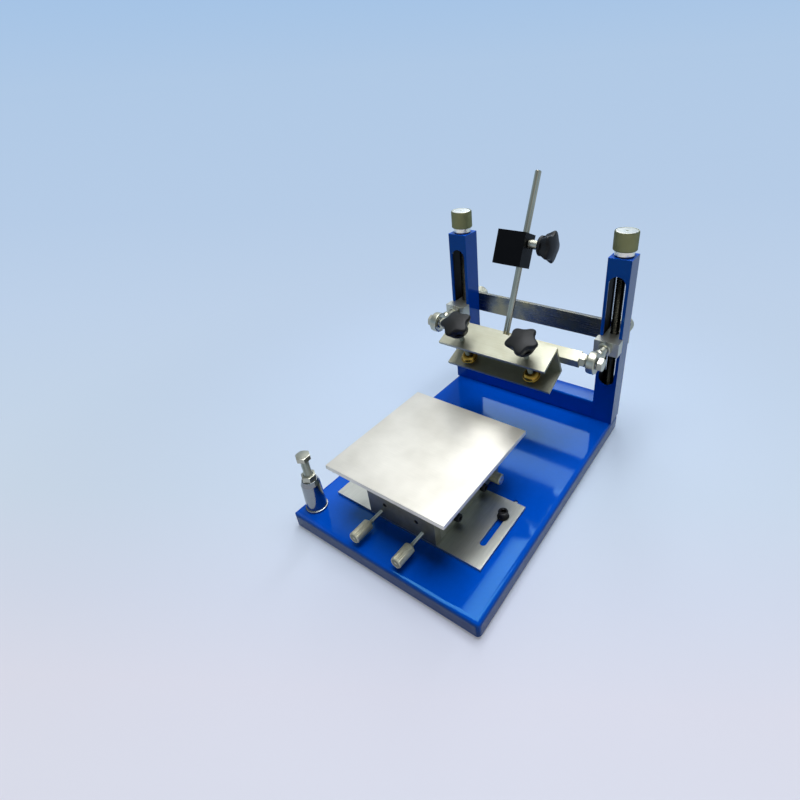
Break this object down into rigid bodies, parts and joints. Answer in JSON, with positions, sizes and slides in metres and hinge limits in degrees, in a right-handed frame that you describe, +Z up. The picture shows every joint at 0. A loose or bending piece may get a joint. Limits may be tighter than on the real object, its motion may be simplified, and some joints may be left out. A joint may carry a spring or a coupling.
{
  "type": "tabletop screen printing press",
  "caption": "Tabletop screen printing press with a swinging, counterweighted frame clamp on lift screws and a small platen with registration screws.",
  "frame": {"origin": "table level, under the middle of the footprint", "axes": "+X to the press's right, +Y from the front to the back, +Z up"},
  "size_m": [0.2276, 0.35, 0.3021],
  "materials": {
    "blue_enamel": "gloss",
    "zinc_steel": "satin",
    "polished_steel": "polished",
    "knurled_steel": "knurled",
    "black_steel": "satin",
    "black_plastic": "matte",
    "aluminium": "brushed",
    "platen_aluminium": "brushed",
    "brass": "satin",
    "rubber": "matte"
  },
  "bodies": {
    "base": {"base_pan": "blue_enamel", "rubber_feet": "rubber", "foot_screws": "zinc_steel", "left_post": "blue_enamel", "right_post": "blue_enamel", "cross_tube": "blue_enamel", "top_bushes": "brass", "foot_bushes": "brass", "rest_pillar": "polished_steel", "pillar_screw": "black_steel", "slide_bolts": "black_steel", "slide_washers": "black_steel", "slide_nuts": "zinc_steel"},
    "left_lift_screw": {"left_lead_screw": "zinc_steel", "left_height_knob": "knurled_steel", "left_screw_collar": "zinc_steel"},
    "right_lift_screw": {"right_lead_screw": "zinc_steel", "right_height_knob": "knurled_steel", "right_screw_collar": "zinc_steel"},
    "carriage": {"left_carriage_block": "aluminium", "right_carriage_block": "aluminium", "rear_tie_bar": "polished_steel", "left_rod_end": "zinc_steel", "right_rod_end": "zinc_steel", "rod_end_nuts": "zinc_steel"},
    "left_rear_lock": {"left_lock_knob": "knurled_steel"},
    "right_rear_lock": {"right_lock_knob": "knurled_steel"},
    "clamp": {"pivot_bar": "aluminium", "pivot_bolts": "zinc_steel", "pivot_nuts": "zinc_steel", "rod_end_balls": "zinc_steel", "clamp_channel": "aluminium", "channel_screws": "black_steel", "counterweight_rod": "polished_steel"},
    "left_pad": {"left_clamp_pad": "brass"},
    "left_clamp_screw": {"left_clamp_stud": "zinc_steel", "left_clamp_knob": "black_plastic"},
    "right_pad": {"right_clamp_pad": "brass"},
    "right_clamp_screw": {"right_clamp_stud": "zinc_steel", "right_clamp_knob": "black_plastic"},
    "counterweight": {"counterweight_block": "black_steel"},
    "counterweight_lock": {"counterweight_stud": "zinc_steel", "counterweight_knob": "black_plastic"},
    "plate_slide": {"slide_plate": "aluminium", "stage_front_bar": "aluminium", "stage_rails": "aluminium", "stage_rear_bar": "aluminium", "stage_lock_screws": "black_steel", "stage_stop_screws": "black_steel"},
    "cross_slide": {"cross_slide": "aluminium"},
    "left_adjuster": {"left_adjuster": "zinc_steel"},
    "right_adjuster": {"right_adjuster": "zinc_steel"},
    "stage_block": {"stage_block": "aluminium"},
    "side_pad": {"side_thrust_pad": "brass"},
    "side_adjuster": {"side_adjuster": "zinc_steel"},
    "platen": {"turntable": "aluminium", "standoffs": "zinc_steel", "platen": "platen_aluminium"},
    "rest_bolt": {"rest_bolt": "zinc_steel"},
    "rest_nut": {"rest_lock_nut": "zinc_steel"}
  },
  "joints": [
    {"name": "carriage_lift", "type": "slide", "parent": "base", "child": "carriage", "axis": [0, 0, 1], "range_m": [-0.036, 0.058]},
    {"name": "left_lift_turn", "type": "hinge", "parent": "base", "child": "left_lift_screw", "pos_m": [-0.1, 0.1345, 0.2271], "axis": [0, 0, -1], "range_deg": [-6481, 10441]},
    {"name": "right_lift_turn", "type": "hinge", "parent": "base", "child": "right_lift_screw", "pos_m": [0.1, 0.1345, 0.2271], "axis": [0, 0, -1], "range_deg": [-6481, 10441]},
    {"name": "left_rear_lock_turn", "type": "hinge", "parent": "carriage", "child": "left_rear_lock", "pos_m": [-0.1, 0.1525, 0.131], "axis": [0, 1, 0], "range_deg": [0, 360]},
    {"name": "right_rear_lock_turn", "type": "hinge", "parent": "carriage", "child": "right_rear_lock", "pos_m": [0.1, 0.1525, 0.131], "axis": [0, 1, 0], "range_deg": [0, 360]},
    {"name": "clamp_swing", "type": "hinge", "parent": "carriage", "child": "clamp", "pos_m": [0, 0.072, 0.131], "axis": [-1, 0, 0], "range_deg": [-30, 47]},
    {"name": "left_pad_feed", "type": "slide", "parent": "clamp", "child": "left_pad", "axis": [0, -0.3907, 0.9205], "range_m": [-0.003, 0.02]},
    {"name": "left_clamp_turn", "type": "hinge", "parent": "left_pad", "child": "left_clamp_screw", "pos_m": [-0.0405, 0.03277, 0.15074], "axis": [0, -0.3907, 0.9205], "range_deg": [-1081, 7201]},
    {"name": "right_pad_feed", "type": "slide", "parent": "clamp", "child": "right_pad", "axis": [0, -0.3907, 0.9205], "range_m": [-0.003, 0.02]},
    {"name": "right_clamp_turn", "type": "hinge", "parent": "right_pad", "child": "right_clamp_screw", "pos_m": [0.0405, 0.03277, 0.15074], "axis": [0, -0.3907, 0.9205], "range_deg": [-1081, 7201]},
    {"name": "counterweight_slide", "type": "slide", "parent": "clamp", "child": "counterweight", "axis": [0, 0.3987, 0.9171], "range_m": [-0.05, 0.055]},
    {"name": "counterweight_lock_turn", "type": "hinge", "parent": "counterweight", "child": "counterweight_lock", "pos_m": [0.002, 0.11356, 0.2309], "axis": [1, 0, 0], "range_deg": [0, 360]},
    {"name": "plate_slide", "type": "slide", "parent": "base", "child": "plate_slide", "axis": [0, 1, 0], "range_m": [0, 0.036]},
    {"name": "cross_slide_feed", "type": "slide", "parent": "plate_slide", "child": "cross_slide", "axis": [0, 1, 0], "range_m": [-0.0028, 0.0028]},
    {"name": "left_adjuster_turn", "type": "hinge", "parent": "cross_slide", "child": "left_adjuster", "pos_m": [-0.0271, -0.133, 0.0315], "axis": [0, 1, 0], "range_deg": [-1441, 1441]},
    {"name": "right_adjuster_turn", "type": "hinge", "parent": "cross_slide", "child": "right_adjuster", "pos_m": [0.0239, -0.133, 0.0315], "axis": [0, 1, 0], "range_deg": [-1441, 1441]},
    {"name": "stage_block_feed", "type": "slide", "parent": "cross_slide", "child": "stage_block", "axis": [1, 0, 0], "range_m": [-0.0028, 0.0028]},
    {"name": "side_pad_feed", "type": "slide", "parent": "plate_slide", "child": "side_pad", "axis": [1, 0, 0], "range_m": [-0.0029, 0.0029]},
    {"name": "side_adjuster_turn", "type": "hinge", "parent": "side_pad", "child": "side_adjuster", "pos_m": [0.0394, -0.041, 0.038], "axis": [1, 0, 0], "range_deg": [-1441, 1441]},
    {"name": "platen_turn", "type": "hinge", "parent": "stage_block", "child": "platen", "pos_m": [-0.0016, -0.077, 0.0527], "axis": [0, 0, 1], "range_deg": [-4, 4]},
    {"name": "rest_bolt_height", "type": "slide", "parent": "base", "child": "rest_bolt", "axis": [0, 0, 1], "range_m": [-0.011, 0.009]},
    {"name": "rest_nut_turn", "type": "hinge", "parent": "base", "child": "rest_nut", "pos_m": [-0.0975, -0.156, 0.059], "axis": [0, 0, 1], "range_deg": [0, 360]}
  ],
  "couplings": [
    {"joint": "left_lift_turn", "follows": "carriage_lift", "rad_per_m": 3141.6},
    {"joint": "right_lift_turn", "follows": "carriage_lift", "rad_per_m": 3141.6},
    {"joint": "left_clamp_turn", "follows": "left_pad_feed", "rad_per_m": 6283.2},
    {"joint": "right_clamp_turn", "follows": "right_pad_feed", "rad_per_m": 6283.2},
    {"joint": "left_adjuster_turn", "follows": "cross_slide_feed", "rad_per_m": 8976},
    {"joint": "right_adjuster_turn", "follows": "cross_slide_feed", "rad_per_m": 8976},
    {"joint": "side_pad_feed", "follows": "stage_block_feed", "ratio": 1},
    {"joint": "side_adjuster_turn", "follows": "stage_block_feed", "rad_per_m": 8976}
  ]
}
